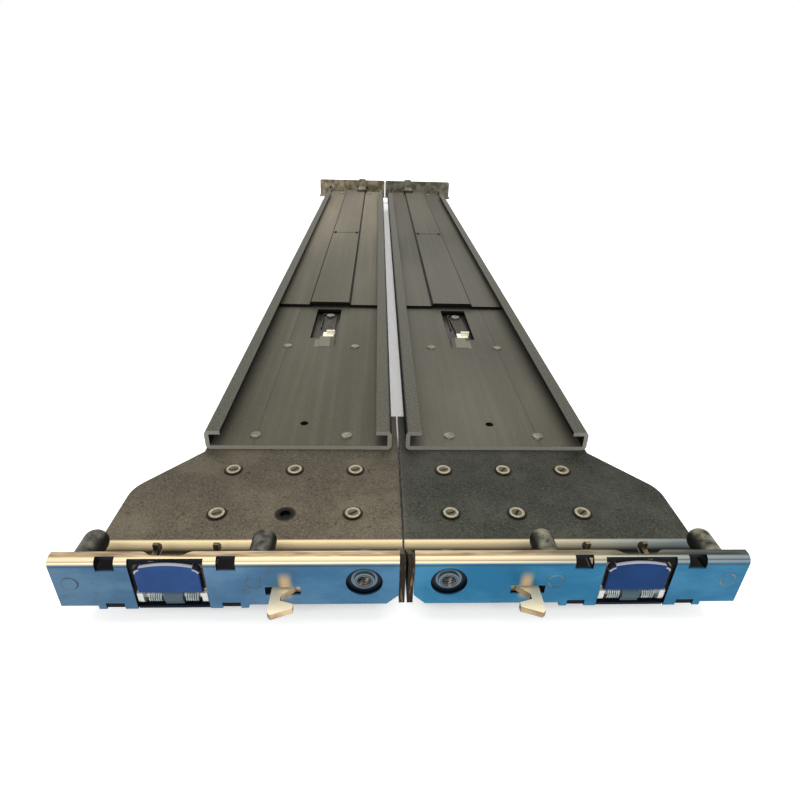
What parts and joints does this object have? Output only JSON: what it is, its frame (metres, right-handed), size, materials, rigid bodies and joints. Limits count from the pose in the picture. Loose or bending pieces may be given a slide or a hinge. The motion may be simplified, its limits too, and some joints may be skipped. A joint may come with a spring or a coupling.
{
  "type": "sliding server rail pair",
  "caption": "Pair of telescopic ball-bearing rack rails with stepped bracket flanges, locating pins, a blue release lever and length-adjusting rear ends.",
  "frame": {"origin": "centre of the bounding box's footprint, on the plane of the inner members' server-side faces", "axes": "+X across the pair towards the right-hand rail, +Y along the rails from front flanges to rear flanges, +Z towards the rails' outboard (rack-post) sides"},
  "size_m": [0.1724, 0.6564, 0.0262],
  "materials": {
    "flange_steel": "zinc-plated sheet, satin with soft reflections",
    "plate_steel": "zinc-plated sheet, fine matte speckle",
    "channel_steel": "zinc-plated sheet, warm grey satin",
    "rear_steel": "zinc-plated sheet, warm satin",
    "pin_steel": "blackened steel, slightly worn",
    "insert_steel": "dark plated steel",
    "hook_steel": "yellow zinc plate",
    "bright_steel": "bright zinc-plated steel",
    "spring_steel": "bright spring steel",
    "rivet_steel": "plated steel, pressed heads",
    "slide_steel": "bright zinc-plated sheet, roll-formed",
    "cage_steel": "thin plated strip",
    "ball_steel": "polished bearing steel",
    "button_plastic": "moulded blue plastic, satin",
    "buffer_rubber": "soft black rubber"
  },
  "bodies": {
    "left_rail": {"left_mounting_flange": "flange_steel", "left_front_bracket": "plate_steel", "left_locating_pins": "pin_steel", "left_screw_insert": "insert_steel", "left_server_hook": "hook_steel", "left_hinge_pin": "bright_steel", "left_front_channel": "channel_steel", "left_front_rivets": "rivet_steel", "left_web_rivets": "rivet_steel", "left_outer_slide": "slide_steel", "left_slide_buffer": "buffer_rubber", "left_latch_pivot": "rivet_steel", "left_latch_spring": "spring_steel"},
    "right_rail": {"right_mounting_flange": "flange_steel", "right_front_bracket": "plate_steel", "right_locating_pins": "pin_steel", "right_screw_insert": "insert_steel", "right_server_hook": "hook_steel", "right_hinge_pin": "bright_steel", "right_front_channel": "channel_steel", "right_front_rivets": "rivet_steel", "right_web_rivets": "rivet_steel", "right_outer_slide": "slide_steel", "right_slide_buffer": "buffer_rubber", "right_latch_pivot": "rivet_steel", "right_latch_spring": "spring_steel"},
    "right_release": {"right_release_lever": "bright_steel", "right_release_button": "button_plastic", "right_torsion_springs": "spring_steel"},
    "right_rear_end": {"right_rear_channel": "channel_steel", "right_rear_flange": "rear_steel", "right_rear_pins": "pin_steel", "right_rear_rivets": "rivet_steel", "right_rear_latch_pin": "bright_steel"},
    "right_rear_latch": {"right_rear_latch": "spring_steel"},
    "right_slide_latch": {"right_slide_latch": "spring_steel"},
    "right_middle_member": {"right_middle_slide": "slide_steel"},
    "right_inner_member": {"right_inner_slide": "slide_steel"},
    "right_outer_ball_cage": {"right_outer_cage": "cage_steel", "right_outer_balls": "ball_steel"},
    "right_inner_ball_cage": {"right_inner_cage": "cage_steel", "right_inner_balls": "ball_steel"},
    "left_release": {"left_release_lever": "bright_steel", "left_release_button": "button_plastic", "left_torsion_springs": "spring_steel"},
    "left_rear_end": {"left_rear_channel": "channel_steel", "left_rear_flange": "rear_steel", "left_rear_pins": "pin_steel", "left_rear_rivets": "rivet_steel", "left_rear_latch_pin": "bright_steel"},
    "left_rear_latch": {"left_rear_latch": "spring_steel"},
    "left_slide_latch": {"left_slide_latch": "spring_steel"},
    "left_middle_member": {"left_middle_slide": "slide_steel"},
    "left_inner_member": {"left_inner_slide": "slide_steel"},
    "left_outer_ball_cage": {"left_outer_cage": "cage_steel", "left_outer_balls": "ball_steel"},
    "left_inner_ball_cage": {"left_inner_cage": "cage_steel", "left_inner_balls": "ball_steel"}
  },
  "joints": [
    {"name": "rails_apart", "type": "slide", "parent": "left_rail", "child": "right_rail", "axis": [1, 0, 0], "range_m": [0, 0.3]},
    {"name": "right_release_lever", "type": "hinge", "parent": "right_rail", "child": "right_release", "pos_m": [0.0585, -0.31785, 0.0093], "axis": [-1, 0, 0], "range_deg": [0, 7], "stiffness_Nm_per_rad": 0.15},
    {"name": "right_middle_slide", "type": "slide", "parent": "right_rail", "child": "right_middle_member", "axis": [0, -1, 0], "range_m": [0, 0.29]},
    {"name": "right_inner_slide", "type": "slide", "parent": "right_middle_member", "child": "right_inner_member", "axis": [0, -1, 0], "range_m": [0, 0.31]},
    {"name": "right_outer_cage_slide", "type": "slide", "parent": "right_rail", "child": "right_outer_ball_cage", "axis": [0, -1, 0], "range_m": [0, 0.145]},
    {"name": "right_inner_cage_slide", "type": "slide", "parent": "right_middle_member", "child": "right_inner_ball_cage", "axis": [0, -1, 0], "range_m": [0, 0.155]},
    {"name": "right_rear_length", "type": "slide", "parent": "right_rail", "child": "right_rear_end", "axis": [0, 1, 0], "range_m": [0, 0.252]},
    {"name": "right_rear_latch", "type": "hinge", "parent": "right_rear_end", "child": "right_rear_latch", "pos_m": [0.0278, 0.28375, 0.0178], "axis": [1, 0, 0], "range_deg": [0, 5], "stiffness_Nm_per_rad": 0.3},
    {"name": "right_slide_latch", "type": "hinge", "parent": "right_rail", "child": "right_slide_latch", "pos_m": [0.036, -0.12325, 0.0107], "axis": [0, 0, 1], "range_deg": [0, 3], "stiffness_Nm_per_rad": 0.05},
    {"name": "left_release_lever", "type": "hinge", "parent": "left_rail", "child": "left_release", "pos_m": [-0.0585, -0.31785, 0.0093], "axis": [-1, 0, 0], "range_deg": [0, 7], "stiffness_Nm_per_rad": 0.15},
    {"name": "left_middle_slide", "type": "slide", "parent": "left_rail", "child": "left_middle_member", "axis": [0, -1, 0], "range_m": [0, 0.29]},
    {"name": "left_inner_slide", "type": "slide", "parent": "left_middle_member", "child": "left_inner_member", "axis": [0, -1, 0], "range_m": [0, 0.31]},
    {"name": "left_outer_cage_slide", "type": "slide", "parent": "left_rail", "child": "left_outer_ball_cage", "axis": [0, -1, 0], "range_m": [0, 0.145]},
    {"name": "left_inner_cage_slide", "type": "slide", "parent": "left_middle_member", "child": "left_inner_ball_cage", "axis": [0, -1, 0], "range_m": [0, 0.155]},
    {"name": "left_rear_length", "type": "slide", "parent": "left_rail", "child": "left_rear_end", "axis": [0, 1, 0], "range_m": [0, 0.252]},
    {"name": "left_rear_latch", "type": "hinge", "parent": "left_rear_end", "child": "left_rear_latch", "pos_m": [-0.0278, 0.28375, 0.0178], "axis": [1, 0, 0], "range_deg": [0, 5], "stiffness_Nm_per_rad": 0.3},
    {"name": "left_slide_latch", "type": "hinge", "parent": "left_rail", "child": "left_slide_latch", "pos_m": [-0.034, -0.12325, 0.0107], "axis": [0, 0, 1], "range_deg": [0, 3], "stiffness_Nm_per_rad": 0.05}
  ],
  "couplings": [
    {"joint": "right_outer_cage_slide", "follows": "right_middle_slide", "ratio": 0.5},
    {"joint": "right_inner_cage_slide", "follows": "right_inner_slide", "ratio": 0.5},
    {"joint": "left_outer_cage_slide", "follows": "left_middle_slide", "ratio": 0.5},
    {"joint": "left_inner_cage_slide", "follows": "left_inner_slide", "ratio": 0.5}
  ]
}
